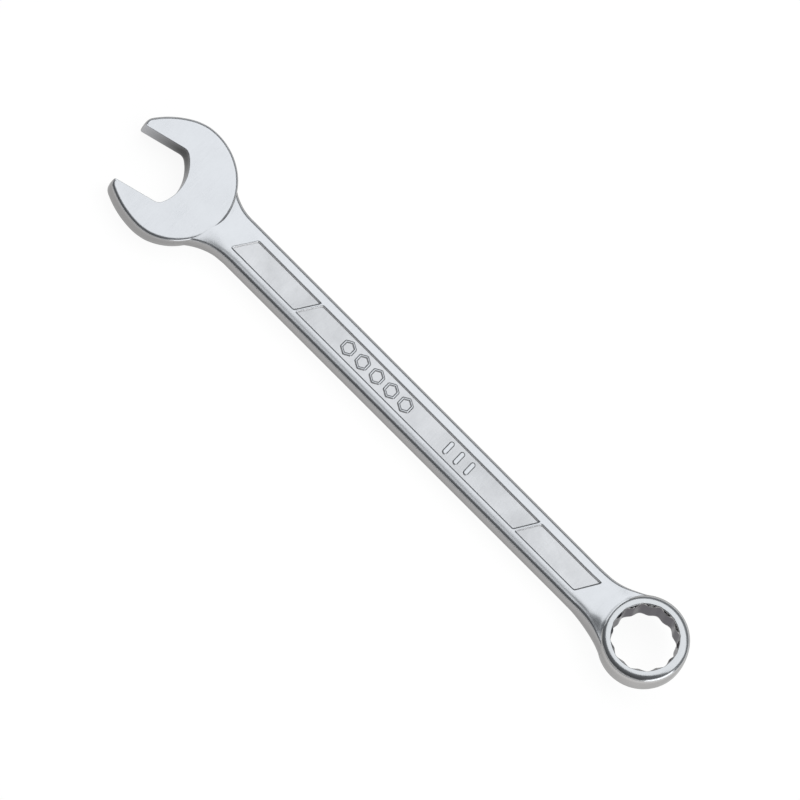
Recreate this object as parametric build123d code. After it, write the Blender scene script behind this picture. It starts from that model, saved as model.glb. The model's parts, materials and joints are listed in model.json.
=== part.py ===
"""A 17 mm combination wrench: open jaws at one end, a twelve-point ring at the other, one forging.

X runs along the shank towards the ring, Z is up. The wrench lies on a table: the flat of the head
and the low side of the ring rim touch z = 0. The origin is under the middle of the overall length.
The forging is written as its named regions, which meet face to face and share one rigid body.
"""
from build123d import *
import os
from math import cos, radians, sin, sqrt, tan

# Driving dimensions, mm and degrees
flats = 17.0            # width across the flats of the nut that both ends fit
length = 210.0          # jaw tip to ring rim
head_thick = 8.4        # open end
ring_thick = 10.2       # box end, along its own axis
shank_wide = 14.2
shank_thick = 6.6
jaw_angle = 15.0        # turn of the jaws in plan, away from the shank's line
ring_angle = 15.0       # lift of the box end out of the shank's plane

# Open end, in the jaws' own axes: a points out of the gap, b across it, from the nut's centre
head_radius = 17.5
jaw_reach = 14.3        # to the flat of the jaw tips
tip_wide = 2.1          # width of a jaw tip
flank_start = 0.6       # in front of the nut's centre, where a flank leaves the round back
flank_mid = (7.3, 15.4)     # the jaw's outer flank passes here
shoulder_blend = 12.0       # where the round back runs into the flanks
throat_radius = 12.0
throat_depth = 2.8      # behind the nut's centre
throat_corner = 1.2
tip_round = 1.0         # outer corner of a jaw tip, in plan
head_round = 0.8        # rounding of the outer rim of the head's faces
nut_offset = 0.9        # nut centre below the shank's centre line, in plan

# Necks
neck_fillet_upper = 14.0    # plan radius from shank to head, +Y side
neck_fillet_lower = 17.0    # the same on the -Y side, where the turned head hangs lower
ring_fillet = 30.0          # plan radius from shank to ring
bend_radius = 30.0          # bend of the shank's middle plane up into the ring
shank_round = 1.4           # rounding of the shank's four long edges
open_neck_end = -67.0       # where the open end's neck is told apart from the shank
ring_neck_start = 73.5

# Box end
ring_radius = 12.7
rim_round = 1.3
point_round = 0.7       # soft bottoms of the twelve grooves
mouth_radius = 9.5      # wide end of the lead-in chamfer, which only cuts the inner corners
mouth_depth = 0.7
mouth_overrun = 0.2     # the chamfer's cone goes this far past the inner corners

# Sunk panels on both faces of the shank
panel_wide = 7.2
panel_depth = 0.5
panel_left = -62.7      # middle of the slanted left end
panel_right = 70.3
rib_places = (-38.1, 46.6)  # the two thin slanted ribs that part the panel in three
rib_wide = 0.8
panel_corner = 0.4      # in plan
slant = 31.6            # ends and ribs lean from square to the shank by this angle

# Raised marks on the upper panel: plain hexagon rings and plain bars, no lettering
mark_height = 0.35
hex_flats = 4.2
hex_line = 0.75
hex_count = 5
hex_pitch = 5.5
hex_middle = -11.6
bar_wide = 1.5
bar_long = 4.4
bar_count = 3
bar_pitch = 4.05
bar_middle = 20.1

# Places worked out from the above
middle = head_thick / 2                     # height of the shank's middle plane
half_wide = shank_wide / 2
half_thick = shank_thick / 2
tilt = radians(ring_angle)
rim_reach = ring_radius - rim_round
rim_half = ring_thick / 2 - rim_round
ring_x = length / 2 - rim_round - rim_reach * cos(tilt) - rim_half * sin(tilt)
ring_z = rim_round + rim_half * cos(tilt) + rim_reach * sin(tilt)
bend_x = ring_x - (ring_z - middle) / tan(tilt)     # where the two middle planes would meet

ring_place = Location((ring_x, 0, ring_z), (0, -ring_angle, 0))


def head_outline():
    """Plan of the open end: round back, slightly flatter flanks, blunt tips, arc throat."""
    side = flats / 2
    tip_out = side + tip_wide
    throat_centre = throat_radius - throat_depth
    throat_edge = throat_centre - sqrt(throat_radius**2 - side**2)
    back_start = (flank_start, sqrt(head_radius**2 - flank_start**2))
    with BuildSketch() as plan:
        with BuildLine():
            ThreePointArc((back_start[0], -back_start[1]), (-head_radius, 0), back_start)
            ThreePointArc(back_start, flank_mid, (jaw_reach, tip_out))
            Polyline((jaw_reach, tip_out), (jaw_reach, side), (throat_edge, side))
            ThreePointArc((throat_edge, side), (-throat_depth, 0), (throat_edge, -side))
            Polyline((throat_edge, -side), (jaw_reach, -side), (jaw_reach, -tip_out))
            ThreePointArc(
                (jaw_reach, -tip_out),
                (flank_mid[0], -flank_mid[1]),
                (back_start[0], -back_start[1]),
            )
        make_face()
        tips = plan.vertices().filter_by(lambda v: abs(v.Y) > side + 0.1 and v.X > jaw_reach - 0.1)
        fillet(tips, tip_round)
        shoulders = plan.vertices().filter_by(lambda v: abs(v.X - back_start[0]) < 0.05)
        fillet(shoulders, shoulder_blend)
        inner = plan.vertices().filter_by(lambda v: abs(v.X - throat_edge) < 0.05)
        fillet(inner, throat_corner)
    return plan.sketch


# The upper jaw's tip sets where the open end lies along the overall length
turned_plan = Rot(0, 0, 180 + jaw_angle) * head_outline()
nut_x = -length / 2 - turned_plan.bounding_box().min.X
jaws = Location((nut_x, -nut_offset, 0), (0, 0, 180 + jaw_angle))


def open_head():
    """The whole head as a plate with its outer rim rounded; the flats keep a sharp edge."""
    plate = extrude(head_outline(), head_thick)
    rim = plate.edges().filter_by(
        lambda e: e.length > 3
        and e.bounding_box().size.Z < 0.01
        and (abs(e.center().Y) > flats / 2 + 1 or e.center().X < -head_radius / 2)
    )
    return jaws * fillet(rim, head_round)


def split_head(head):
    """Part the head on the line across the nut's centre: two jaws, and the back with the throat."""
    size = 4 * head_radius
    front = jaws * Pos(size / 2, 0, 0) * Box(size, size, size)
    upper = jaws * Pos(0, -size / 2, 0) * Box(size * 2, size, size)
    tips = head & front
    return tips & upper, tips - upper, head - front


def handle_plan():
    """Plan of both necks and the shank, running on into the head and the ring."""
    def flare(centre, radius, fillet_radius, side, towards):
        """Fillet arc from the shank's side to a round end: its two ends and a point between."""
        rise = side * (half_wide + fillet_radius) - centre[1]
        run = towards * sqrt((radius + fillet_radius) ** 2 - rise**2)
        hub = (centre[0] + run, side * (half_wide + fillet_radius))
        on_shank = (hub[0], side * half_wide)
        share = radius / (radius + fillet_radius)
        on_round = (centre[0] + share * run, centre[1] + share * rise)
        mid = ((on_shank[0] + on_round[0]) / 2 - hub[0], (on_shank[1] + on_round[1]) / 2 - hub[1])
        reach = fillet_radius / sqrt(mid[0] ** 2 + mid[1] ** 2)
        return on_round, (hub[0] + mid[0] * reach, hub[1] + mid[1] * reach), on_shank

    nut = (nut_x, -nut_offset)
    ring = (ring_x, 0)
    upper = flare(nut, head_radius, neck_fillet_upper, 1, 1)
    lower = flare(nut, head_radius, neck_fillet_lower, -1, 1)
    ring_upper = flare(ring, ring_radius, ring_fillet, 1, -1)
    ring_lower = flare(ring, ring_radius, ring_fillet, -1, -1)
    with BuildSketch() as plan:
        with BuildLine():
            ThreePointArc(*upper)
            Line(upper[2], ring_upper[2])
            ThreePointArc(*reversed(ring_upper))
            Line(ring_upper[0], ring_lower[0])
            ThreePointArc(*ring_lower)
            Line(ring_lower[2], lower[2])
            ThreePointArc(*reversed(lower))
            Line(lower[0], upper[0])
        make_face()
    return plan.sketch


def handle_profile():
    """Side view of the handle: a flat bar whose end bends up to the ring's plane."""
    start = bend_x - bend_radius * tan(tilt / 2)
    outside = bend_radius + half_thick
    inside = bend_radius - half_thick

    def on_bend(radius, angle):
        return Vector(start + radius * sin(angle), middle + bend_radius - radius * cos(angle))

    run_out = Vector(cos(tilt), sin(tilt)) * 2 * ring_radius
    with BuildSketch(Plane.XZ) as profile:
        with BuildLine():
            Line((nut_x, middle - half_thick), on_bend(outside, 0))
            ThreePointArc(on_bend(outside, 0), on_bend(outside, tilt / 2), on_bend(outside, tilt))
            Polyline(
                on_bend(outside, tilt),
                on_bend(outside, tilt) + run_out,
                on_bend(inside, tilt) + run_out,
                on_bend(inside, tilt),
            )
            ThreePointArc(on_bend(inside, tilt), on_bend(inside, tilt / 2), on_bend(inside, 0))
            Polyline(
                on_bend(inside, 0),
                (nut_x, middle + half_thick),
                (nut_x, middle - half_thick),
            )
        make_face()
    return profile.sketch


def panel(left, right):
    """Plan of a sunk panel between two slanted ends."""
    lean = tan(radians(slant)) * panel_wide / 2
    half = panel_wide / 2
    corners = [(left - lean, -half), (right - lean, -half), (right + lean, half), (left + lean, half)]
    return fillet(make_face(Polyline(*corners, close=True)).vertices(), panel_corner)


def hexagon_ring(place_x, base):
    """One raised nut outline."""
    outer = RegularPolygon(hex_flats / 2, 6, major_radius=False, rotation=30)
    inner = RegularPolygon(hex_flats / 2 - hex_line, 6, major_radius=False, rotation=30)
    return Pos(place_x, 0, base) * extrude(outer - inner, mark_height)


def box_ring():
    """Twelve-point ring about its own axis: rounded rim, grooved hole, chamfered mouths."""
    corner = flats / sqrt(3)
    notch = flats / 2 / cos(radians(15))
    star = []
    for step in range(12):
        valley = radians(30 * step)
        peak = radians(30 * step + 15)
        star.append((notch * cos(valley), notch * sin(valley)))
        star.append((corner * cos(peak), corner * sin(peak)))
    hole = make_face(Polyline(*star, close=True))
    peaks = hole.vertices().filter_by(lambda v: sqrt(v.X**2 + v.Y**2) > corner - 0.1)
    hole = fillet(peaks, point_round)
    body = Cylinder(ring_radius, ring_thick)
    body = fillet(body.edges().filter_by(GeomType.CIRCLE), rim_round)
    body -= Pos(0, 0, -ring_thick) * extrude(hole, 2 * ring_thick)
    straight = notch - mouth_overrun
    cone_depth = mouth_depth * (mouth_radius - straight) / (mouth_radius - notch)
    mouth = Cone(straight, mouth_radius, cone_depth)
    body -= Pos(0, 0, (ring_thick - cone_depth) / 2) * mouth
    body -= Pos(0, 0, -(ring_thick - cone_depth) / 2) * Rot(180, 0, 0) * mouth
    return body


def slab(x_low, x_high):
    """A tall block between two places along the shank, to part the handle with."""
    return Pos((x_low + x_high) / 2, 0, 0) * Box(x_high - x_low, length, length)


def main():
    head = open_head()
    upper_jaw, lower_jaw, head_back = split_head(head)

    handle = Pos(0, 0, -length / 2) * extrude(handle_plan(), length)
    handle &= Pos(0, length / 2, 0) * extrude(handle_profile(), length)
    long_edges = handle.edges().filter_by(
        lambda e: abs(e.center().Y) > half_wide - 0.5 and e.bounding_box().size.X > 1
    )
    handle = fillet(long_edges, shank_round)
    head_round_plug = Pos(nut_x, -nut_offset, 0) * Cylinder(head_radius, length)
    ring_plug = ring_place * Cylinder(ring_radius, length)

    shank = handle & slab(open_neck_end, ring_neck_start)
    edges_x = [panel_left, *rib_places, panel_right]
    for left, right in zip(edges_x[:-1], edges_x[1:]):
        sunk = panel(left + rib_wide / 2, right - rib_wide / 2)
        shank -= Pos(0, 0, middle + half_thick - panel_depth) * extrude(sunk, shank_thick)
        shank -= Pos(0, 0, middle - half_thick + panel_depth - shank_thick) * extrude(sunk, shank_thick)

    floor = middle + half_thick - panel_depth
    hexagons = [
        hexagon_ring(hex_middle + (i - (hex_count - 1) / 2) * hex_pitch, floor)
        for i in range(hex_count)
    ]
    bars = [
        Pos(bar_middle + (i - (bar_count - 1) / 2) * bar_pitch, 0, floor)
        * extrude(SlotOverall(bar_long, bar_wide, rotation=90), mark_height)
        for i in range(bar_count)
    ]

    nodes = {
        "upper_jaw": upper_jaw,
        "lower_jaw": lower_jaw,
        "head_back": head_back,
        "open_end_neck": (handle & slab(nut_x, open_neck_end)) - head_round_plug,
        "shank": shank,
        "hexagon_marks": Compound(children=hexagons),
        "bar_marks": Compound(children=bars),
        "box_end_neck": (handle & slab(ring_neck_start, length)) - ring_plug,
        "box_end_ring": ring_place * box_ring(),
    }
    os.makedirs("parts", exist_ok=True)
    for name, shape in nodes.items():
        export_step(shape, f"parts/{name}.step")
        box = shape.bounding_box()
        print(name, len(shape.solids()), round(shape.volume), box.min, box.max)


main()
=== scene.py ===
# %% [markdown]
# # A chrome-plated combination wrench
# A combination wrench is one drop forging: open jaws at one end, a twelve-point ring at the other and
# a flat shank between them. It is trimmed, its faces are ground, and all of it is plated with nickel
# and a thin skin of chrome. It could be sculpted from a subdivided box, or cut out of blocks with
# booleans. Here it is five meshes around a measured frame, and all of them come from one idea: a row of
# points is moved along, and the rows are joined into a skin. That keeps every radius a number in
# millimetres, and it leaves clean faces to put a finish on.

import json
from math import cos, degrees, hypot, pi, radians, sin, sqrt, tan

import bmesh
import bpy
import numpy as np
from mathutils import Matrix, Vector


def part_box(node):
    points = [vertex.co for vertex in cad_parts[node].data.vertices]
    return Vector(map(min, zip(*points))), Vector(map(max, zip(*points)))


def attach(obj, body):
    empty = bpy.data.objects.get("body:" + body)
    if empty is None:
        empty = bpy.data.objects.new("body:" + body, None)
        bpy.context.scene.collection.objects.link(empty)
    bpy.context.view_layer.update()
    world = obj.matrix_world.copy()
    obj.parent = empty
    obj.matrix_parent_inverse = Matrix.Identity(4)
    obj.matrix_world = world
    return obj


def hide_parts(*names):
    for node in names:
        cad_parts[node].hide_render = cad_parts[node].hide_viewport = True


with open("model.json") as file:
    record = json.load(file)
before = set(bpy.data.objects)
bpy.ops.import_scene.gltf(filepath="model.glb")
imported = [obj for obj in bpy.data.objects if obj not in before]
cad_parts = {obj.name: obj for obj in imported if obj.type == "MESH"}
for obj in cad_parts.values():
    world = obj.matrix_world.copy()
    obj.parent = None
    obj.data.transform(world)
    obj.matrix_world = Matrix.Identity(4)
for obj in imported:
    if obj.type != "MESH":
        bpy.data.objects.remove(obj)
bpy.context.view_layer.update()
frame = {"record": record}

# %% [markdown]
# ## Where things are
# On the real tool everything is measured from two places: the middle of the nut between the jaws, and
# the ring's axis. Their sizes could be typed in again, but the frame already holds them, so the lesson
# reads them, and the pieces can't drift away from it. All modelling is done in millimetres, and turned
# into Blender's metres at the last moment.

# %% Read the frame's places
MM = 0.001
mounts = {mount["name"]: mount for mount in frame["record"]["mounts"]}
nut = Vector(mounts["jaw_gap"]["pos_m"]) / MM       # the middle of a nut in the jaws
ring_centre = Vector(mounts["ring_socket"]["pos_m"]) / MM
ring_axis = Vector(mounts["ring_socket"]["axis"])
ring_tilt = -np.arcsin(ring_axis.x)
jaw_direction = Vector(mounts["upper_jaw_flat"]["axis"])
jaw_turn = np.arctan2(jaw_direction.x, -jaw_direction.y)
head_low, head_high = [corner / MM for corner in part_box("head_back")]
shank_low, shank_high = [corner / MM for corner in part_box("shank")]
head_half = (head_high.z - head_low.z) / 2
half_thick = (shank_high.z - shank_low.z) / 2
middle = (shank_high.z + shank_low.z) / 2           # height of the forging's middle plane
print("jaws turned", round(degrees(jaw_turn), 1), "ring lifted", round(degrees(ring_tilt), 1))

# %% [markdown]
# ## One skin for every piece
# A forging has no loose faces, so each piece here is a closed skin. It could start as a cylinder or a
# box with modifiers, but then the edges fall where the modifier puts them. With rows of points, each
# edge lies where the maker wants it. Rows that hold the same number of points are joined by four-sided
# faces. A plate is closed by a flat cap at each end, and a ring by joining its last row to its first.

# %% Skin rows of points
def skin(rows, wrap=False):
    """Points and faces of a closed skin over equal rows; each row is itself a closed loop."""
    rows = np.asarray(rows, float)
    count, width = rows.shape[:2]
    index = np.arange(count * width).reshape(count, width)
    ahead = np.roll(index, -1, axis=1)
    last = count if wrap else count - 1
    faces = []
    for row in range(last):
        near, far = index[row], index[(row + 1) % count]
        near_next, far_next = ahead[row], ahead[(row + 1) % count]
        faces += list(zip(near, near_next, far_next, far))
    if not wrap:
        faces.append(tuple(index[0][::-1]))
        faces.append(tuple(index[-1]))
    return rows.reshape(-1, 3), faces


trial_points, trial_faces = skin(np.zeros((3, 4, 3)))
print("three rows of four points:", len(trial_points), "points,", len(trial_faces), "faces")

# %% Make an object from skins
def make_piece(name, shells, materials, choose=None):
    """One object from closed skins, in millimetres. choose(centre) picks a face's material."""
    points, faces = [], []
    for shell_points, shell_faces in shells:
        start = len(points)
        points += [Vector(p) * MM for p in shell_points]
        faces += [[int(i) + start for i in face] for face in shell_faces]
    mesh = bpy.data.meshes.new(name)
    mesh.from_pydata(points, [], faces)
    for material in materials:
        mesh.materials.append(material)
    work = bmesh.new()
    work.from_mesh(mesh)
    bmesh.ops.recalc_face_normals(work, faces=work.faces)
    caps = [face for face in work.faces if len(face.verts) > 4]
    for face in work.faces:
        face.smooth = face not in caps
        if choose:
            face.material_index = choose(face.calc_center_median() / MM)
    bmesh.ops.triangulate(work, faces=caps)
    work.to_mesh(mesh)
    work.free()
    piece = bpy.data.objects.new(name, mesh)
    bpy.context.scene.collection.objects.link(piece)
    print(name, len(mesh.vertices), "points", len(mesh.polygons), "faces")
    return piece

# %% [markdown]
# ## The outline of the open end
# In plan the real head is a round back, slightly flatter flanks out to blunt tips, two flats for the
# nut and a shallow arc for the throat. A boolean could cut that gap from a disc, but it would leave
# every corner equally sharp. So the outline is drawn as a maker would scribe it: each leg is a short
# path, and the corner between two legs is rounded by a curve that leaves both of them smoothly. Each
# point also carries the radius of the rim above it, since the flats are sharper than the outside.

# %% Arcs and even spacing
def arc_path(centre, radius, start, end, count):
    """Points on an arc, angles in degrees."""
    angles = np.radians(np.linspace(start, end, count))
    return np.c_[centre[0] + radius * np.cos(angles), centre[1] + radius * np.sin(angles)]


def three_point_arc(start, through, end, count):
    """Arc from start to end through a third point."""
    start, through, end = (np.array(p, float) for p in (start, through, end))
    sides = 2 * np.array([through - start, end - start])
    squares = np.array([through @ through - start @ start, end @ end - start @ start])
    centre = np.linalg.solve(sides, squares)
    first, last = (np.arctan2(*(p - centre)[::-1]) for p in (start, end))
    return arc_path(centre, np.linalg.norm(start - centre), degrees(first), degrees(last), count)


def trimmed(path, at_start, at_end, spacing):
    """The path without a length at each end, with evenly spaced points."""
    steps = np.r_[0, np.cumsum(np.linalg.norm(np.diff(path, axis=0), axis=1))]
    places = np.linspace(at_start, steps[-1] - at_end, max(3, int(steps[-1] / spacing)))
    return np.c_[np.interp(places, steps, path[:, 0]), np.interp(places, steps, path[:, 1])]


print("a 2 mm arc from 0 to 90 degrees ends at", np.round(arc_path((0, 0), 2, 0, 90, 5)[-1], 3))

# %% A closed loop with rounded corners
corner_places = np.linspace(0, 1, 9)[1:-1, None]        # along the curve that rounds a corner
least_step = 0.02       # mm; points closer than this would only make sliver faces


def straight(start, end):
    return np.array([start, end], float)


def rounded_loop(legs, spacing):
    """Closed loop from legs (path, corner reach after it, edge radius): points and edge radii."""
    points, radii = [], []
    for number, (path, reach, radius) in enumerate(legs):
        before = legs[number - 1][1]
        following, _, next_radius = legs[(number + 1) % len(legs)]
        here = trimmed(path, before, reach, spacing)
        points.append(here)
        radii.append(np.full(len(here), radius))
        if reach:
            after = trimmed(following, reach, 0, spacing)[0]
            t = corner_places
            points.append((1 - t) ** 2 * here[-1] + 2 * t * (1 - t) * path[-1] + t**2 * after)
            radii.append(radius + (next_radius - radius) * t[:, 0])
    loop, edge = np.concatenate(points), np.concatenate(radii)
    keep = np.linalg.norm(loop - np.roll(loop, 1, axis=0), axis=1) > least_step
    return loop[keep], edge[keep]


def outward(loop):
    """Unit normals that point out of a loop drawn anticlockwise."""
    along = np.roll(loop, -1, axis=0) - np.roll(loop, 1, axis=0)
    along /= np.linalg.norm(along, axis=1)[:, None]
    return np.c_[along[:, 1], -along[:, 0]]


square = np.array([(0, 0), (4, 0), (4, 4), (0, 4)], float)
trial_legs = [(straight(square[k], square[(k + 1) % 4]), 1.0, 0.0) for k in range(4)]
print("a 4 mm square with round corners:", len(rounded_loop(trial_legs, 0.5)[0]), "points")

# %% The head's sizes, in mm and in the jaws' own axes
flats = 17.0            # the nut's size
side = flats / 2
head_radius = 17.5
jaw_reach = 14.3        # from the nut's middle out to the tips
tip_wide = 2.1          # blunt end of a jaw
tip_edge = 0.85         # radius of its rim
flank_mid = (7.3, 15.4)         # the flank runs through this point
shoulder_x = 0.6        # here the round back turns into the flank
throat_radius = 12.0
throat_depth = 2.8      # behind the nut's middle
rim_round = 1.1         # the ground face runs into the side through this radius
flat_edge = 0.14        # broken edge of the flats, so that they still hold the nut
throat_blend = 1.2      # the blends say how far a rounded corner reaches along its legs
mouth_blend = 0.6
tip_blend = 1.35
shoulder_blend = 2.0
leg_points = 60
outline_step = 0.45

throat_centre = throat_radius - throat_depth
throat_angle = 180 - degrees(np.arcsin(side / throat_radius))
throat_edge = throat_centre + throat_radius * cos(radians(throat_angle))
shoulder = (shoulder_x, sqrt(head_radius**2 - shoulder_x**2))
shoulder_angle = degrees(np.arctan2(shoulder[1], shoulder[0]))
tip_out = side + tip_wide
print("throat runs into the flats at", round(throat_edge, 2), "tips reach out to", tip_out)

# %% Draw the head's outline
throat_arc = arc_path((throat_centre, 0), throat_radius, 360 - throat_angle, throat_angle, leg_points)
back_arc = arc_path((0, 0), head_radius, shoulder_angle, 360 - shoulder_angle, 2 * leg_points)
upper_flank = three_point_arc((jaw_reach, tip_out), flank_mid, shoulder, leg_points)
lower_flank = upper_flank[::-1] * (1, -1)
head_legs = [
    (throat_arc, throat_blend, flat_edge),
    (straight((throat_edge, side), (jaw_reach, side)), mouth_blend, flat_edge),
    (straight((jaw_reach, side), (jaw_reach, tip_out)), tip_blend, tip_edge),
    (upper_flank, shoulder_blend, rim_round),
    (back_arc, shoulder_blend, rim_round),
    (lower_flank, tip_blend, rim_round),
    (straight((jaw_reach, -tip_out), (jaw_reach, -side)), mouth_blend, tip_edge),
    (straight((jaw_reach, -side), (throat_edge, -side)), throat_blend, flat_edge),
]
head_loop, head_edges = rounded_loop(head_legs, outline_step)
print("head outline:", len(head_loop), "points")

# %% [markdown]
# ## The open end
# The real face is ground flat, so all its shape is in the rim: the side wall bulges a little where the
# two forging dies met, turns over a quarter circle and stops on the flat. A bevel modifier could round
# an extruded outline, but with one radius only. Here rows of copies of the outline climb the wall, and
# each is set in by the radius that its points carry: soft outside, nearly sharp on the flats.

# %% Rows up a plate's side
def quarter(radius, count):
    """Inset and drop below the face, for a quarter round from the side wall up to the face."""
    angles = np.linspace(0, pi / 2, count)
    return [(radius * (1 - cos(a)), radius * (1 - sin(a))) for a in angles]


def plate_rows(loop, edges, half, bulge, steps=9, settle=0.15):
    """Rows of a plate with a rounded rim, from its lower face up to its upper face.

    One more row, set in by settle, lies on the flat and keeps its shading flat.
    """
    normals = outward(loop)
    upper = [(edges * inset, half - edges * drop) for inset, drop in quarter(1.0, steps)]
    upper.append((edges + settle, np.full(len(edges), half)))
    wall = []
    for level in np.linspace(-1, 1, steps)[1:-1]:
        wall.append((-bulge * (1 - level**2), level * (half - edges)))
    rows = []
    stack = [(inset, -height) for inset, height in upper[::-1]] + wall + upper
    for inset, height in stack:
        rim = loop - normals * np.broadcast_to(inset, len(loop))[:, None]
        rows.append(np.c_[rim, np.broadcast_to(height, len(loop))])
    return rows


print("a quarter round in 3 steps:", np.round(quarter(1.0, 3), 2).tolist())

# %% Skin the head
head_bulge = 0.12


def place_head(points):
    """From the jaws' axes, with height from the middle plane, to the wrench's axes."""
    turn = Matrix.Rotation(pi + jaw_turn, 3, "Z")
    base = Vector((nut.x, nut.y, middle))
    return [turn @ Vector(p) + base for p in points]


# the bulge stays off the flats, which are broached square
bulge_along = head_bulge * np.clip((head_edges - flat_edge) / (rim_round - flat_edge), 0, 1)
head_points, head_faces = skin(plate_rows(head_loop, head_edges, head_half, bulge_along))
head_shell = (place_head(head_points), head_faces)
print("head:", len(head_points), "points")

# %% [markdown]
# ## The handle: shank and both necks
# On the real tool the shank is a straight bar whose sides flare into the head and the ring along arcs,
# and it bends up just before the ring. It could be a bar with a bend modifier and two necks joined on,
# but the joins would show in a bright finish. So the handle is one long loft along a middle line that
# bends. The line and the half width beside it come first.

# %% The handle's sizes, in mm
box_flare = 0.14        # the shank's box takes in the start of a flare
half_wide = min(shank_high.y, -shank_low.y) - box_flare
neck_fillets = {1: 14.0, -1: 17.0}      # arcs into the head, on the +Y and the -Y side
ring_radius = 12.62
ring_half = 5.1
ring_flare = 30.0       # arcs into the ring
bend_radius = 30.0
tuck = 0.12             # inside the head or the ring, the sides sink this much per mm under its skin
bend_meet = ring_centre.x - (ring_centre.z - middle) / tan(ring_tilt)
bend_start = bend_meet - bend_radius * tan(ring_tilt / 2)
ring_along = bend_start + bend_radius * ring_tilt + hypot(
    ring_centre.x - bend_meet - bend_radius * tan(ring_tilt / 2) * cos(ring_tilt),
    ring_centre.z - middle - bend_radius * tan(ring_tilt / 2) * sin(ring_tilt),
)
print("bend starts at", round(bend_start, 1), "and the ring's axis is", round(ring_along, 1), "along")

# %% The middle line
def bend_at(s):
    """How far the middle line has turned up at s, in radians."""
    return min(max((s - bend_start) / bend_radius, 0), ring_tilt)


def place_along(s, y, height):
    """A point s along the middle line, y across it and height off it, in the wrench's axes."""
    turn = bend_at(s)
    past = s - bend_start - turn * bend_radius
    x = min(s, bend_start) + bend_radius * sin(turn) - height * sin(turn)
    z = middle + bend_radius * (1 - cos(turn)) + height * cos(turn)
    if s > bend_start:
        x += past * cos(turn)
        z += past * sin(turn)
    return Vector((x, y, z))


miss = place_along(ring_along, 0, 0) - Vector((ring_centre.x, 0, ring_centre.z))
print("the line misses the ring's centre by", round(miss.length, 4), "mm")

# %% The half width
def flare_half(s, sign):
    """Half width of the handle on one side (sign 1 is +Y), s along it."""
    fillet = neck_fillets[sign]
    rise = half_wide + fillet - sign * nut.y
    hub = nut.x + sqrt((head_radius + fillet) ** 2 - rise**2)
    share = head_radius / (head_radius + fillet)
    meet = nut.x + share * (hub - nut.x)
    if s < meet:        # inside the head: follow its round, a little under its skin
        return sign * nut.y + sqrt(head_radius**2 - (s - nut.x) ** 2) - tuck * (meet - s)
    if s < hub:
        return half_wide + fillet - sqrt(fillet**2 - (s - hub) ** 2)
    rise = half_wide + ring_flare
    hub = ring_along - sqrt((ring_radius + ring_flare) ** 2 - rise**2)
    meet = ring_along - ring_radius / (ring_radius + ring_flare) * (ring_along - hub)
    if s > meet:
        return sqrt(ring_radius**2 - (s - ring_along) ** 2) - tuck * (s - meet)
    if s > hub:
        return half_wide + ring_flare - sqrt(ring_flare**2 - (s - hub) ** 2)
    return half_wide


print("half width:", {s: round(flare_half(s, 1), 2) for s in (-75, -65, 0, 75, 85)})

# %% [markdown]
# ## The height of the handle's faces
# Each real face has plain rails along its sides and a sunk panel between them, which two thin slanted
# ribs part in three. At the ends it rises into the head and the ring. The panel could be a boolean cut
# or a bump in the material, but a cut needs its corners cleaned and a bump has no side when it is seen
# low down. So the height is a small formula of place: rails, minus the panel, plus the rise at each
# end. A formula can blend a wall or a corner as softly as a worn die does.

# %% The sunk panel
panel_half = 3.6
panel_depth = 0.42
panel_ends = (-62.7, 70.3)
ribs = (-38.1, 46.6)
rib_wide = 0.25         # the ribs' crest; their flanks lean out below it
wall_run = 0.5          # the panel's walls slope over this width
slant_angle = radians(31.6)     # of the panel's ends and the ribs, off square
slant = tan(slant_angle)
square_on = cos(slant_angle)
corner_blend = 0.5      # softens the panels' corners
panel_edges = [panel_ends[0]] + [rib + sign * rib_wide / 2 for rib in ribs for sign in (-1, 1)]
panel_edges.append(panel_ends[1])
panels = list(zip(panel_edges[::2], panel_edges[1::2]))


def ease(x):
    """0 below 0, 1 above 1, smooth between."""
    x = min(max(x, 0), 1)
    return x * x * (3 - 2 * x)


def panel_sink(s, y):
    """How far the sunk panel lies below the rails here."""
    lean = s - slant * y
    to_side = panel_half - abs(y)
    deepest = 0
    for left, right in panels:
        to_end = min(lean - left, right - lean) * square_on
        overlap = max(corner_blend - abs(to_end - to_side), 0)
        inside = min(to_end, to_side) - overlap**2 / (4 * corner_blend)
        deepest = max(deepest, ease(inside / wall_run))
    return panel_depth * deepest


print("panel floor", panel_sink(0, 0), "mm down, halfway out on its wall", round(panel_sink(0, 3.35), 3))

# %% The rise into the head
head_swell = 0.27       # a long low swell before the head
swell_run = 12.0
head_step = 0.30        # the neck stops this far below the head's ground face
flush_run = 6.0
groove_depth = 0.22     # the grinding wheel leaves a fine groove at the step, on the +Y side
groove_run = 1.1
duck_slope = 0.2        # well inside the head the neck's face ducks under the head's face
duck_start = 0.8
swell_end, swell_fade = 6.0, 8.0        # the swell is gone at this y, and was full this much lower
flush_end, flush_fade = 2.2, 6.0
groove_begin, groove_fade = 0.5, 4.0    # the groove grows from this y over this width


def closeness(gap, run):
    """1 at a round end's side and inside it, falling smoothly to 0 at a distance of run."""
    return ease(1 - max(gap, 0) / run)


def head_rise(s, y):
    """Metal gathered where the neck runs into the head: a step on +Y, nearly flush on -Y."""
    gap = hypot(s - nut.x, y - nut.y) - head_radius
    swell = head_swell * closeness(gap, swell_run) * ease((swell_end - y) / swell_fade)
    climb = head_half - half_thick - head_step
    flush = climb * closeness(gap, flush_run) * ease((flush_end - y) / flush_fade)
    groove = groove_depth * closeness(gap, groove_run) * ease((y - groove_begin) / groove_fade)
    duck = duck_slope * max(0, -gap - duck_start)
    return swell + flush - groove - duck


neck_meet = nut.x + head_radius
print("rise at the head's side:", {y: round(head_rise(neck_meet, y), 2) for y in (-5, 0, 5)})

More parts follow.
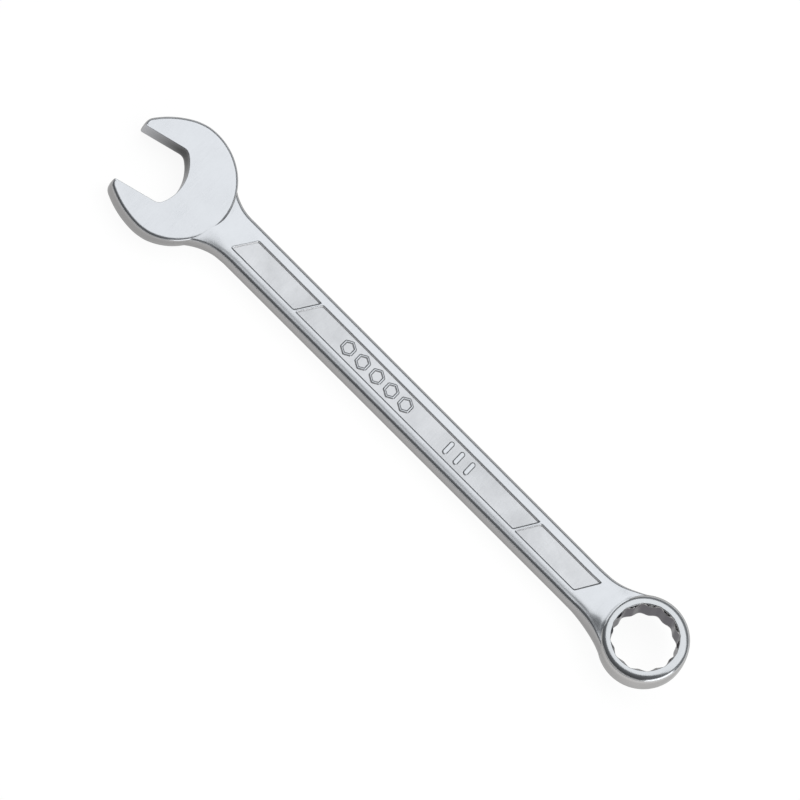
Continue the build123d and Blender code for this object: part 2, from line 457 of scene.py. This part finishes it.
# %% The rise into the ring
ring_swell = 1.1
ring_swell_run = 14.0
ring_step = 0.22        # below the ring's face just outside it
ring_flush_run = 5.0
closing = 0.19          # and this much of the step closes inside the ring's rounded rim
closing_run = 1.3
flush_wide = 6.0        # the flush part fades out this far from the middle
crown = 0.16            # the rails fall away towards the sides


def ring_rise(s, y):
    """Metal gathered where the neck runs into the ring: flush in the middle, a step at the sides."""
    gap = hypot(s - ring_along, y) - ring_radius
    swell = ring_swell * closeness(gap, ring_swell_run)
    climb = ring_half - half_thick - ring_swell - ring_step
    flush = climb * closeness(gap, ring_flush_run) + closing * ease(-gap / closing_run)
    return swell + flush * np.exp(-((abs(y) / flush_wide) ** 4))


def face_height(s, y, reach):
    """Height of the handle's face off its middle plane; the face ends at reach from the middle."""
    fall = crown * max(0, (abs(y) - panel_half) / (reach - panel_half)) ** 2
    return half_thick - fall - panel_sink(s, y) + head_rise(s, y) + ring_rise(s, y)


ring_meet = ring_along - ring_radius
print("face height at the ring:", {y: round(face_height(ring_meet, y, 6), 2) for y in (0, 5)})

# %% [markdown]
# ## The loft
# The real bar's section is a flat face, a tight round, and a side that is a wide arc, because a die
# wall must lean to let the forging go. A curve with a bevel object could sweep such a section, but it
# can't change its width and height on the way. So every section is worked out where it stands. Each
# is a closed loop round the bar. The loops lean with the panel's slanted ends, so that a row runs along
# an edge and never zigzags across it, and they crowd together where the height changes fast.

# %% Where the points of a section lie
panel_lines = [0, 0.55, 1.1, 1.65, 2.2, 2.7, 3.0]       # mm from the middle line
wall_lines = list(panel_half - wall_run * np.array([1.0, 0.8, 0.6, 0.4, 0.2, 0.0]))
rail_lines = [3.66, 3.85, 4.15, 4.5, 4.85]
half_lines = panel_lines + wall_lines + rail_lines
across = sorted([-y for y in half_lines if y] + half_lines)
edge_turn = 1.3         # radius between rail and side
lean = radians(25)      # slope at which the round meets the side, which is a wide arc
lean_turns = np.linspace(pi / 2, lean, 9)
side_turns = np.linspace(lean, 0, 5)[1:]
side_radius = (half_thick - edge_turn * (1 - sin(lean))) / sin(lean)
side_inset = side_radius * (1 - cos(lean))
rail_inset = side_inset + edge_turn * cos(lean)
print(len(across), "lines across a face, and the side bulges by", round(side_inset, 2), "mm")

# %% Where the loft ends
into_head = 4.0         # the first row lies this far inside the head
ring_end_back = 6.54    # the last row's ends lie this far before the ring's axis
bow_inner = 11.4        # its middle is bowed to this radius, so that it stays clear of the hole
bow_widen = 1.25
table_gap = 0.02
head_end = (nut.x + head_radius - into_head,) * 2
ring_end = (ring_along - ring_end_back,) * 2
ring_end_half = flare_half(ring_end[0], 1)


def underside(s, height):
    """Height of the lower face: it mirrors the upper one, but stops short of the table."""
    room = (place_along(s, 0, 0).z - table_gap) / cos(bend_at(s))
    return -min(height, room)


print("the loft runs from", round(head_end[0], 1), "to", round(ring_end[0], 1), "mm")

# %% One section
def section(s_low, s_high, bow=0.0):
    """One loop round the bar: its row runs from s_low at -Y to s_high at +Y.

    With a bow, the middle of the row stays behind its ends, as far as a circle round the ring's hole.
    """
    wide_low, wide_high = flare_half(s_low, -1), flare_half(s_high, 1)

    def along(y):
        share = (y + wide_low) / (wide_low + wide_high)
        line = s_low + share * (s_high - s_low)
        reach = abs(2 * share - 1)
        inner = bow_inner + bow_widen * reach**4
        bowed = ring_along - sqrt(inner**2 - (reach * ring_end_half) ** 2)
        return line + bow * (bowed - ring_end[0])

    upper = []
    for line in across:
        reach = (wide_high if line > 0 else wide_low) - rail_inset
        y = line * max(1, reach / (half_wide - rail_inset))
        upper.append((along(y), y, face_height(along(y), y, reach)))
    loop = []
    for sign, wide in ((1, wide_high), (-1, wide_low)):
        inner = sign * (wide - rail_inset)
        top = face_height(along(inner), inner, wide - rail_inset)
        level = top - edge_turn * (1 - sin(lean))
        turn = [(side_inset + edge_turn * (cos(lean) - cos(a)), top - edge_turn * (1 - sin(a)))
                for a in lean_turns]
        turn += [(side_radius * (1 - cos(a)), level * sin(a) / sin(lean)) for a in side_turns]
        down = [(along(sign * (wide - inset)), sign * (wide - inset), h) for inset, h in turn]
        loop.append(down + [(s, y, underside(s, h)) for s, y, h in down[:-1]][::-1])
    lower = [(s, y, underside(s, h)) for s, y, h in upper[::-1]]
    return upper + loop[0] + lower + loop[1][::-1]


print("a section has", len(section(0.0, 0.0)), "points")

# %% Places of the rows
wall_steps = [0.0, 0.1, 0.2, 0.3, 0.4, 0.5, 0.65, 1.0]      # mm, down a wall and onto the floor
rail_steps = [-0.5, -0.15]      # on the level before a wall
floor_step = 2.0                # along a panel's floor, and from its ends


def around_edge(place, inwards, level=()):
    """Places of rows near a slanted panel edge: a few on the level, then closely down the wall."""
    steps = np.array([*level, *wall_steps]) / square_on
    return sorted(place + inwards * steps)


def spread(start, end, step):
    """Evenly spaced values from start up to but not including end."""
    return list(np.linspace(start, end, max(2, round(abs(end - start) / step)), endpoint=False))


panel_rows = around_edge(panel_ends[0], 1, rail_steps)
for rib in ribs:
    panel_rows += around_edge(rib - rib_wide / 2, -1) + [rib] + around_edge(rib + rib_wide / 2, 1)
panel_rows += around_edge(panel_ends[1], -1, rail_steps)
for left, right in panels:
    panel_rows += spread(left + floor_step, right - floor_step, floor_step)[1:]
panel_rows = sorted(panel_rows)
print("rows across the panel:", len(panel_rows))

# %% Loft the handle
head_neck_rows = 90
ring_neck_rows = 80
left_line, right_line = [(end - slant * half_wide, end + slant * half_wide)
                         for end in (panel_rows[0], panel_rows[-1])]
rows = []
for share in np.linspace(0, 1, head_neck_rows)[:-1]:
    rows.append([a + share * (b - a) for a, b in zip(head_end, left_line)])
for place in panel_rows:
    rows.append([place - slant * half_wide, place + slant * half_wide])
for share in np.linspace(0, 1, ring_neck_rows)[1:]:
    rows.append([a + share * (b - a) for a, b in zip(right_line, ring_end)] + [share])
handle_rows = [section(*row) for row in rows]
handle_points, handle_faces = skin(handle_rows)
handle_shell = ([place_along(*p) for p in handle_points], handle_faces)
print("handle rows:", len(rows), "of", len(handle_rows[0]), "points")

# %% [markdown]
# ## The twelve-point ring
# The real hole is two hexagons turned half a step from each other, pressed through the hot blank. So it
# has twelve grooves with soft bottoms and twelve blunt corners between them. A cone at each mouth leads
# the nut in, and where it cuts the corners it leaves a row of scallops. Booleans with two prisms and a
# cone would leave needle faces just there. Seen from the axis, though, every part of the hole is a
# radius at an angle, so each row is a loop of radii, and the scallops come out of taking the larger.

# %% The hole, as a radius at an angle
groove_count = 12
groove_round = 0.8      # mm, blends the flats at the bottom of a groove
corner_round = 0.45     # mm, blends them at the corners
mouth_radius = 9.5      # of the cone, where it meets the ring's face


def hole_radius(angle):
    """Radius of the twelve-point hole at this angle; a corner lies at angle zero."""
    half_step = pi / groove_count
    from_corner = abs((angle + half_step) % (2 * half_step) - half_step)
    from_groove = half_step - from_corner
    corner_soft = corner_round / (side / cos(half_step))
    groove_soft = groove_round / (flats / sqrt(3))
    held = min(max(from_corner, corner_soft), half_step - groove_soft)
    radius = side / cos(half_step + held)
    slope = radius * tan(half_step + held)
    if from_corner < corner_soft:
        radius += slope * (from_corner**2 - corner_soft**2) / (2 * corner_soft)
    if from_groove < groove_soft:
        radius += slope * (groove_soft**2 - from_groove**2) / (2 * groove_soft)
    return radius


# degrees from a corner to the next groove, closer together at both
half_step_marks = np.array([0, 0.6, 1.2, 1.9, 2.8, 4, 5.4, 6.9, 8.4, 9.8, 11, 12, 12.8, 13.5, 14.3])
step_marks = np.r_[half_step_marks, 15, (30 - half_step_marks[1:])[::-1]]
ring_angles = np.radians(np.concatenate([step_marks + 30 * k for k in range(groove_count)]))
hole = np.array([hole_radius(angle) for angle in ring_angles])
mouth = np.maximum(hole, mouth_radius)
print("hole radius, mm:", round(hole.min(), 2), "at a corner,", round(hole.max(), 2), "in a groove")

# %% The sizes of the ring's rim and its cone
ring_rim = 2.1          # radius between the ring's side and its face
ring_barrel = 0.1       # the side is this much smaller at the rim than at the middle
mouth_depth = 0.7       # of the cone, at the corners
mouth_edge = 0.2        # broken edge where the face meets the cone
up_cone = 0.4           # shares of the cone's height that get a row
near_foot = 0.08
foot_drop = 0.05        # rows just below the cone's foot keep its edge crisp
wall_drop = 0.1
cone = mouth - hole     # how far the cone leans out; in the grooves there is none
edge_lean = np.clip(3 * cone, 0, 0.6)       # so the broken edge goes straight down there
cone_slope = (mouth_radius - side / cos(pi / groove_count)) / mouth_depth
cone_foot = ring_half - cone / cone_slope
print("the cone leans out from the hole by", round(degrees(np.arctan(cone_slope))), "degrees")

# %% Rows over the ring's upper half
upper_rows = []         # each row: radius and height off the ring's middle
for level in np.linspace(0, 1, 6)[:-1]:
    upper_rows.append((ring_radius - ring_barrel * level**2, level * (ring_half - ring_rim)))
for inset, drop in quarter(1.0, 12):
    upper_rows.append((ring_radius - ring_barrel - inset * ring_rim, ring_half - drop * ring_rim))
upper_rows.append((mouth + 3 * mouth_edge, ring_half))      # on the flat, beside the edge
for t in np.linspace(0, 1, 5):
    out, down = mouth_edge * (1 - t) ** 2, mouth_edge * t**2
    upper_rows.append((mouth + out - down * edge_lean, ring_half - down))
upper_rows.append((hole + up_cone * cone,
                   cone_foot - mouth_edge * 0.8 + up_cone * (ring_half - cone_foot)))
upper_rows.append((hole + near_foot * cone, cone_foot - mouth_edge))
wall_top = cone_foot - mouth_edge - foot_drop
upper_rows.append((hole, wall_top))
upper_rows.append((hole, wall_top - wall_drop))
for share in (0.9, 0.75, 0.5, 0.25, 0.0):
    upper_rows.append((hole, wall_top * share))
print("rows from the side over the face and down the hole:", len(upper_rows))

# %% Skin the ring
def polar_row(radius, height):
    radius = np.broadcast_to(radius, ring_angles.shape)
    height = np.broadcast_to(height, ring_angles.shape)
    return np.c_[radius * np.cos(ring_angles), radius * np.sin(ring_angles), height]


ring_rows = upper_rows + [(radius, -np.asarray(height)) for radius, height in upper_rows[1:-1][::-1]]
ring_points, ring_faces = skin([polar_row(*row) for row in ring_rows], wrap=True)
lift = Matrix.Rotation(-ring_tilt, 3, "Y")
ring_shell = ([lift @ Vector(p) + ring_centre for p in ring_points], ring_faces)
print("ring:", len(ring_rows), "rows of", len(ring_angles))

# %% [markdown]
# ## The raised marks
# The panel of a real wrench carries raised marks that the die leaves standing on its floor. Here they
# are plain shapes: five hexagon outlines and three bars. A bump in the material would draw them, but it
# casts no shadow and has no side. So each is a small mesh whose rows climb a profile: the flanks lean
# and the top is worn round, because a die can't leave a sharp upright wall.

# %% A mark's profile
floor_height = shank_high.z - panel_depth
mark_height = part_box("bar_marks")[1].z / MM - floor_height
foot = 0.12             # how far a mark spreads where it meets the floor
buried = 0.12           # its skin starts this far below the floor
mark_profile = [(foot, -buried)]        # pairs of offset and height
mark_profile += [(offset, share * mark_height) for offset, share in (
    (foot, 0.0), (0.4 * foot, 0.1), (0.0, 0.35), (-0.07, 0.65), (-0.15, 0.88), (-0.25, 1.0))]


def raised(loop, centre, stroke=None):
    """A pad on the floor, or with a stroke a raised outline of that width."""
    normals = outward(loop)

    def rim(offset, height):
        return np.c_[loop + normals * offset + centre, np.full(len(loop), floor_height + height)]

    rows = [rim(offset, height) for offset, height in mark_profile]
    if stroke is None:
        return skin(rows)
    rows += [rim(-stroke - offset, height) for offset, height in mark_profile[::-1]]
    return skin(rows, wrap=True)


print("the marks stand", round(mark_height, 2), "mm off the panel's floor")

# %% Skin the marks
hexagon_line = 0.75     # width of the outline
hexagon_corner = 0.28
bar_wide = 1.5


def hexagon_loop(half_flats, corner):
    """Rounded hexagon with two of its points along Y."""
    angles = np.radians(np.arange(6) * 60 - 30)
    points = np.c_[np.cos(angles), np.sin(angles)] * half_flats * 2 / sqrt(3)
    legs = [(straight(points[k], points[(k + 1) % 6]), corner, 0.0) for k in range(6)]
    return rounded_loop(legs, 0.2)[0]


def stadium_loop(long, wide):
    """Bar with round ends, its length along Y."""
    reach = long / 2 - wide / 2
    upper_end = arc_path((0, reach), wide / 2, 0, 180, 24)
    return np.r_[upper_end, arc_path((0, -reach), wide / 2, 180, 360, 24)]


hexagons_low, hexagons_high = [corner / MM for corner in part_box("hexagon_marks")]
bars_low, bars_high = [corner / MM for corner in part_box("bar_marks")]
hexagon_half = (hexagons_high.y - hexagons_low.y) / 2 * sqrt(3) / 2
hexagon_places = np.linspace(hexagons_low.x + hexagon_half, hexagons_high.x - hexagon_half, 5)
bar_places = np.linspace(bars_low.x + bar_wide / 2, bars_high.x - bar_wide / 2, 3)
hexagon_outline = hexagon_loop(hexagon_half - foot / 2, hexagon_corner)
bar_outline = stadium_loop(bars_high.y - bars_low.y - foot, bar_wide - foot)
hexagon_shells = [raised(hexagon_outline, (x, 0), hexagon_line - foot) for x in hexagon_places]
bar_shells = [raised(bar_outline, (x, 0)) for x in bar_places]
print("hexagons at", np.round(hexagon_places, 2), "bars at", np.round(bar_places, 2))

# %% [markdown]
# ## Satin chrome over forged steel
# All the real colour comes from one metal, chrome, and the real difference between the surfaces comes
# from what was done to the steel before plating. Ground faces carry fine parallel scratches, the panel
# was blasted, the sides were tumbled and keep a soft waviness. Besides, the upright sides, the hole's
# walls, the jaws' throat and the ring's side at the neck get a darker colour, which is painted shade,
# and the jaws' walls brighten towards their tips, which is painted light. Five unlike materials could
# be wired by hand, or one plain metal used for all. Here one finish is written once and given a few
# values for each surface, so they stay one metal and still differ as the worked steel does.

# %% A colour helper, a node helper and a size helper
def linear(code):
    """An sRGB hex colour as linear light."""
    values = [int(code[i : i + 2], 16) / 255 for i in (1, 3, 5)]
    return tuple(v / 12.92 if v <= 0.04045 else ((v + 0.055) / 1.055) ** 2.4 for v in values) + (1.0,)


def add(tree, kind, inputs=None, **settings):
    """Adds a node; inputs maps a socket to a value, or to another node's output socket."""
    node = tree.nodes.new(kind)
    for key, value in settings.items():
        setattr(node, key, value)
    for key, value in (inputs or {}).items():
        if isinstance(value, bpy.types.NodeSocket):
            tree.links.new(value, node.inputs[key])
        else:
            node.inputs[key].default_value = value
    return node


def per_mm(size):
    """Texture scale for features of this size, on coordinates in metres."""
    return 1 / (size * MM)


print("mid grey is", round(linear("#808080")[0], 3), "in linear light")

# %% Grain, polishing lines, waves and smudges
line_size = 0.16        # mm; real polishing lines are about 0.05 apart, drawn three times as coarse
line_squeeze = 0.045    # a line is some twenty times as long as it is wide
grid_turn = radians(62)         # keeps the noise's own grid off the handle's axes
wave_size = 5.0         # mm, soft hammered waves under the plate
smudge_size = 14.0      # mm, about a fingertip


def textures(tree, grain_size):
    """Four noises: grain, polishing lines across the handle, waves and smudges."""
    place = add(tree, "ShaderNodeTexCoord").outputs["Object"]
    grain = add(tree, "ShaderNodeTexNoise", {
        "Vector": place, "Scale": per_mm(grain_size), "Detail": 4.0, "Roughness": 0.6})
    stretched = add(tree, "ShaderNodeMapping", {
        "Vector": place, "Rotation": (0, 0, grid_turn), "Scale": (1.0, line_squeeze, 1.0)})
    lines = add(tree, "ShaderNodeTexNoise", {
        "Vector": stretched.outputs["Vector"], "Scale": per_mm(line_size), "Detail": 3.0,
        "Roughness": 0.55})
    waves = add(tree, "ShaderNodeTexNoise", {
        "Vector": place, "Scale": per_mm(wave_size), "Detail": 2.0, "Roughness": 0.5})
    smudges = add(tree, "ShaderNodeTexNoise", {
        "Vector": place, "Scale": per_mm(smudge_size), "Detail": 5.0, "Roughness": 0.62,
        "Distortion": 0.4})
    return [noise.outputs["Fac"] for noise in (grain, lines, waves, smudges)]


print("texture scale of the polishing lines:", round(per_mm(line_size)))

# %% Roughness, and edges that are rubbed bright
smudge_range = (0.35, 0.7)      # the part of a noise's range that counts
line_range = (0.3, 0.7)
point_range = (0.53, 0.6)       # how pointed an edge is where it starts to rub, and fully rubbed
smudge_dull, smudge_clean = 1.18, 0.88      # times the finish's roughness
line_rough = 0.03       # a polishing line is this much rougher or smoother
rubbed_rough = 0.6      # times the finish's roughness, on a rubbed edge


def rubbed_edges(tree, smudges):
    """Where edges rub in a tool roll: pointed places, in patches."""
    convex = add(tree, "ShaderNodeNewGeometry").outputs["Pointiness"]
    rubbed = add(tree, "ShaderNodeMapRange", {
        "Value": convex, "From Min": point_range[0], "From Max": point_range[1],
        "To Min": 0.0, "To Max": 1.0})
    patchy = add(tree, "ShaderNodeMath", {0: rubbed.outputs["Result"], 1: smudges}, operation="MULTIPLY")
    return patchy.outputs[0]


def gloss(tree, rough, lines, smudges, rubbed):
    """Roughness: smudges dull it, lines vary it, and rubbed edges are smoother."""
    handled = add(tree, "ShaderNodeMapRange", {
        "Value": smudges, "From Min": smudge_range[0], "From Max": smudge_range[1],
        "To Min": rough * smudge_clean, "To Max": rough * smudge_dull})
    lined = add(tree, "ShaderNodeMapRange", {
        "Value": lines, "From Min": line_range[0], "From Max": line_range[1],
        "To Min": -line_rough, "To Max": line_rough})
    both = add(tree, "ShaderNodeMath", {
        0: handled.outputs["Result"], 1: lined.outputs["Result"]}, operation="ADD")
    worn = add(tree, "ShaderNodeMix", {
        "Factor": rubbed, "A": both.outputs[0], "B": rough * rubbed_rough}, data_type="FLOAT")
    return worn.outputs["Result"]


print("a roughness of 0.24 runs from", round(0.24 * rubbed_rough, 3), "to", round(0.24 * smudge_dull, 3))

# %% Colour
burnished = "#D6D7D9"
# between these two, the flank's colour, which is painted shade where it is darker, gives way to the face
# colour
all_flank_below, all_face_above = 0.45, 0.93      # how level a skin is: 0 upright, 1 level


def paint_corner_shade(tree, tint, corner):
    """Painted shade: multiplies the colour by a brightness that grows with the distance from a point.

    corner is the point, the two distances from it in mm, and the brightness at each.
    """
    point, near, far, least, most = corner
    place = add(tree, "ShaderNodeTexCoord").outputs["Object"]
    away = add(tree, "ShaderNodeVectorMath", {0: place, 1: point * MM}, operation="DISTANCE")
    shade_factor = add(tree, "ShaderNodeMapRange", {
        "Value": away.outputs["Value"], "From Min": near * MM, "From Max": far * MM,
        "To Min": least, "To Max": most})
    return add(tree, "ShaderNodeMix", {
        "Factor": 1.0, "A": tint, "B": shade_factor.outputs["Result"]},
        data_type="RGBA", blend_type="MULTIPLY").outputs[2]


def plate_colour(tree, colour, flank, rubbed, corner):
    """Level skin gets the face colour and steeper skin the flank's colour; a darker flank is painted shade.
    """
    normal = add(tree, "ShaderNodeTexCoord").outputs["Normal"]
    upright = add(tree, "ShaderNodeSeparateXYZ", {"Vector": normal}).outputs["Z"]
    level = add(tree, "ShaderNodeMath", {0: upright}, operation="ABSOLUTE").outputs[0]
    # reached is the share of the face colour; the rest is the flank's colour, a painted shade where the
    # flank is darker
    reached = add(tree, "ShaderNodeMapRange", {
        "Value": level, "From Min": all_flank_below, "From Max": all_face_above,
        "To Min": 0.0, "To Max": 1.0}, interpolation_type="SMOOTHSTEP")
    # near a given point the flank's colour gets painted shade
    side_tint = paint_corner_shade(tree, linear(flank), corner) if corner else linear(flank)
    skin_tint = add(tree, "ShaderNodeMix", {
        "Factor": reached.outputs["Result"], "A": side_tint, "B": linear(colour)}, data_type="RGBA")
    tint = add(tree, "ShaderNodeMix", {
        "Factor": rubbed, "A": skin_tint.outputs[2], "B": linear(burnished)}, data_type="RGBA")
    return tint.outputs[2]


# skin leaning less than this gets only the face colour; steeper skin takes on the flank's painted shade
print("the belt reached skin that leans less than", round(degrees(np.arccos(all_face_above))), "degrees")

# %% The finish
def plated(name, colour, flank, rough, grain, scratch, wave, grain_size=0.35, edge=0.62, corner=None):
    """Chrome plate; grain, scratch and wave are bump heights in mm, grain_size is in mm too.

    The real grain of ground steel is about 0.1 mm, too fine to show, so it is drawn coarser.
    colour is for level skin and flank for upright skin. edge dims the reflection at a low angle,
    where real chrome gives back a little less than an ideal mirror. corner is for paint_corner_shade.
    """
    material = bpy.data.materials.new(name)
    material.use_nodes = True
    tree = material.node_tree
    tree.nodes.clear()
    fine, lines, waves, smudges = textures(tree, grain_size)
    rubbed = rubbed_edges(tree, smudges)
    bump = None
    for height, source in ((wave, waves), (scratch, lines), (grain, fine)):
        inputs = {"Height": source, "Strength": 1.0, "Distance": height * MM}
        if bump:
            inputs["Normal"] = bump.outputs["Normal"]
        bump = add(tree, "ShaderNodeBump", inputs)
    shader = add(tree, "ShaderNodeBsdfPrincipled", {
        "Base Color": plate_colour(tree, colour, flank, rubbed, corner), "Metallic": 1.0,
        "Roughness": gloss(tree, rough, lines, smudges, rubbed), "Normal": bump.outputs["Normal"],
        "Specular Tint": (edge, edge, edge, 1.0)})
    add(tree, "ShaderNodeOutputMaterial", {"Surface": shader.outputs["BSDF"]})
    print(name, "has", len(tree.nodes), "nodes")
    return material

# %% The five surfaces
# ground on a belt, then plated: pale and silky, reflections blurred by fine lines across the handle
# its flank colour, darker than its face colour, is painted shade on the upright sides
forged_skin = plated("satin chrome on ground forging", "#C3C6CA", "#A3A2A2", 0.24, 0.0006, 0.0008, 0.005)

# turned all round on its axis, so its sides are as pale as its faces; painted shade darkens its side down
# at the neck's root
ring_root = place_along(ring_along - ring_radius, 0, 0)
ring_skin = plated("satin chrome on turned ring", "#BDC0C3", "#BDBCBB", 0.20, 0.0010, 0.0006, 0.006,
                   corner=(ring_root, 11, 22, 0.72, 1.0))

# blasted with fine grit: flat light grey with no clear reflection. Its pits, about 0.1 mm across, are
# drawn twice as coarse
# its upright walls get a darker colour than its floor, which is painted shade
blasted_floor = plated("satin chrome on blasted steel", "#C8CACD", "#A09E9D", 0.36, 0.0040, 0.0002,
                       0.008, grain_size=0.2)

# cut by a broach; painted shade deep in the gap fades into painted light: nearly black in the corner,
# bright at the tip
throat_corner = place_head([(throat_edge, -side, 0.0)])[0]      # of the upper jaw
broached_wall = plated("satin chrome on broached steel", "#B0B1B4", "#B0B1B4", 0.28, 0.0012, 0.0010,
                       0.006, edge=0.6, corner=(throat_corner, 2, 16, 0.06, 1.45))

# pressed through hot and never ground; its upright grooves are painted dark, a painted shade inside the
# hole, with thin light lines between
punched_hole = plated("satin chrome on a punched hole", "#C8C9CB", "#67646A", 0.22, 0.0012, 0.0006,
                      0.006, edge=0.55)
print("throat corner, mm:", [round(v, 1) for v in throat_corner])

# %% [markdown]
# ## Put the pieces together
# On the real tool nothing moves and nothing comes apart. The frame still names its regions, so each
# mesh hides the frame's nodes that it stands for, and they all ride on the one body. A material
# could be given by painting faces by hand. Here a small rule per piece looks at where a face lies and
# tells how that place was worked: ground, blasted, broached or punched.

# %% Which face got which finish
on_face = 0.02          # mm, a face this near to the ground flat was ground
behind_throat = 6.0     # mm, the gap's walls begin in front of this
beside_flats = 0.1
floor_share = 0.75      # a face sunk by more than this share of the panel's depth is its floor
beside_hole = 0.15
GROUND, WORKED = 0, 1   # the places of a piece's two materials


def head_finish(centre):
    """The walls of the gap were broached, the rest of the head was ground."""
    if abs(abs(centre.z - middle) - head_half) < on_face:
        return GROUND
    turned = Matrix.Rotation(-(pi + jaw_turn), 3, "Z") @ (centre - nut)
    in_gap = turned.x > throat_edge - behind_throat and abs(turned.y) < side + beside_flats
    return WORKED if in_gap else GROUND


def handle_finish(centre):
    """The panels' floors were blasted, the rest of the handle was ground."""
    sunk = centre.x < bend_start and panel_sink(centre.x, centre.y) > floor_share * panel_depth
    return WORKED if sunk else GROUND


def ring_finish(centre):
    """The hole below its cones was punched, the rest of the ring was turned."""
    from_axis = Matrix.Rotation(ring_tilt, 3, "Y") @ (centre - ring_centre)
    inside = hypot(from_axis.x, from_axis.y) < flats / sqrt(3) + beside_hole
    return WORKED if inside and abs(from_axis.z) < ring_half - mouth_depth - mouth_edge else GROUND


print("finish at the middle of the panel:", handle_finish(Vector((0, 0, shank_high.z))))

# %% Build and bind the pieces
def bind(piece, nodes):
    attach(piece, "root")
    for node in nodes:
        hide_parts(node)


bind(make_piece("forged_head", [head_shell], [forged_skin, broached_wall], head_finish),
     ["upper_jaw", "lower_jaw", "head_back"])
bind(make_piece("forged_handle", [handle_shell], [forged_skin, blasted_floor], handle_finish),
     ["open_end_neck", "shank", "box_end_neck"])
bind(make_piece("twelve_point_ring", [ring_shell], [ring_skin, punched_hole], ring_finish),
     ["box_end_ring"])
bind(make_piece("raised_hexagons", hexagon_shells, [forged_skin]), ["hexagon_marks"])
bind(make_piece("raised_bars", bar_shells, [forged_skin]), ["bar_marks"])

# %% [markdown]
# ## A pale table
# The wrench rests on its open end and on the underside of the neck where it meets the ring, on a plain
# white card. A real card under studio light comes out almost white, and only the contact shadow shows.
# Lighting it that brightly would burn out the chrome. So the card glows by itself, and its own colour is
# kept dark, which leaves just enough for the shadow.

# %% The sheet
card_reach = 3.0        # m, half its width
card_glow = 0.91
# matt and uncoated: it shows no reflection of the tool, only a soft shadow close to it
paper = bpy.data.materials.new("matt white card")
paper.use_nodes = True
paper.node_tree.nodes.clear()
card = add(paper.node_tree, "ShaderNodeBsdfPrincipled", {
    "Base Color": linear("#6C6C6B"), "Roughness": 0.9,
    "Emission Color": linear("#FFFFFF"), "Emission Strength": card_glow})
add(paper.node_tree, "ShaderNodeOutputMaterial", {"Surface": card.outputs["BSDF"]})

corners = [(x * card_reach, y * card_reach, 0.0) for x, y in ((-1, -1), (1, -1), (1, 1), (-1, 1))]
sheet_mesh = bpy.data.meshes.new("sheet")
sheet_mesh.from_pydata(corners, [], [(0, 1, 2, 3)])
sheet_mesh.materials.append(paper)
sheet = bpy.data.objects.new("sheet", sheet_mesh)
bpy.context.scene.collection.objects.link(sheet)
print("card of", 2 * card_reach, "m")

# %% [markdown]
# ## Soft light for bright metal
# Metal shows its surroundings, so a studio lights it with large pale panels. A stored image of a room
# could surround it, but plain lights say more clearly what each does. A large panel overhead and beyond the
# tool brightens the flat faces. A window at the ring's end picks out the edges that face it. A low
# strip on the near side draws a thin light line along the bottom of the sides. The near side of the
# room is dim, and the round edges that sweep through it read as dark lines.

# %% Lights
panel_lights = [        # name, place in m, size in m, power in W; all of them face the tool
    ("overhead", (0.0, 0.62, 1.4), (2.8, 1.3), 13.2),
    ("window", (1.5, -0.50, 0.45), (1.4, 0.8), 7.0),
    ("low_near", (0.0, -1.5, 0.36), (3.6, 0.4), 3.6),
]
for name, place, size, power in panel_lights:
    light = bpy.data.lights.new(name, "AREA")
    light.shape = "RECTANGLE"
    light.size, light.size_y = size
    light.energy = power
    lamp = bpy.data.objects.new(name, light)
    lamp.location = place
    lamp.rotation_euler = (-Vector(place)).to_track_quat("-Z", "Y").to_euler()
    bpy.context.scene.collection.objects.link(lamp)
    print(name, power, "W")

# %% The room
near_end, far_end = -0.8, 0.3       # directions along Y between which the room gets lighter
near_dim, far_dim = 0.2, 0.62
world = bpy.data.worlds.new("room")
world.use_nodes = True
world.node_tree.nodes.clear()
seen = add(world.node_tree, "ShaderNodeTexCoord").outputs["Generated"]
depth = add(world.node_tree, "ShaderNodeSeparateXYZ", {"Vector": seen}).outputs["Y"]
dim = add(world.node_tree, "ShaderNodeMapRange", {
    "Value": depth, "From Min": near_end, "From Max": far_end, "To Min": near_dim, "To Max": far_dim})
room = add(world.node_tree, "ShaderNodeBackground", {
    "Color": linear("#B4B6B8"), "Strength": dim.outputs["Result"]})
add(world.node_tree, "ShaderNodeOutputWorld", {"Surface": room.outputs["Background"]})
bpy.context.scene.world = world
bpy.context.scene.view_settings.view_transform = "Standard"
print("room light from", near_dim, "to", far_dim)

# %% [markdown]
# ## The camera
# A wrench in a catalogue is seen from almost overhead. The camera stands a little on the near side and
# above the open end, and is rolled so that the tool lies along the view's diagonal. It could be turned
# by three angles, but they would have to be found by trying. Here its three axes are built from where
# it looks and how the tool lies. A long lens keeps the two ends equal in size.

# %% Place the camera
distance = 1.05         # m
tilt = radians(15)      # off straight down
stand_x = -0.075        # above the open end
aim = Vector((-0.00272, -0.0004, 0.0084))
roll = pi / 4
field = 0.2180          # width of the view at the tool, in m
eye = Vector((stand_x, aim.y - distance * sin(tilt), aim.z + distance * cos(tilt)))
back = (eye - aim).normalized()
along_tool = (Vector((1, 0, 0)) - back * back.x).normalized()
across_tool = back.cross(along_tool)
right = along_tool * cos(roll) + across_tool * sin(roll)
up = -along_tool * sin(roll) + across_tool * cos(roll)
camera = bpy.data.objects.new("camera", bpy.data.cameras.new("camera"))
camera.matrix_world = Matrix((right, up, back)).transposed().to_4x4()
camera.location = eye
camera.data.lens = camera.data.sensor_width * (eye - aim).length / field
bpy.context.scene.collection.objects.link(camera)
bpy.context.scene.camera = camera
print("lens", round(camera.data.lens, 1), "mm")
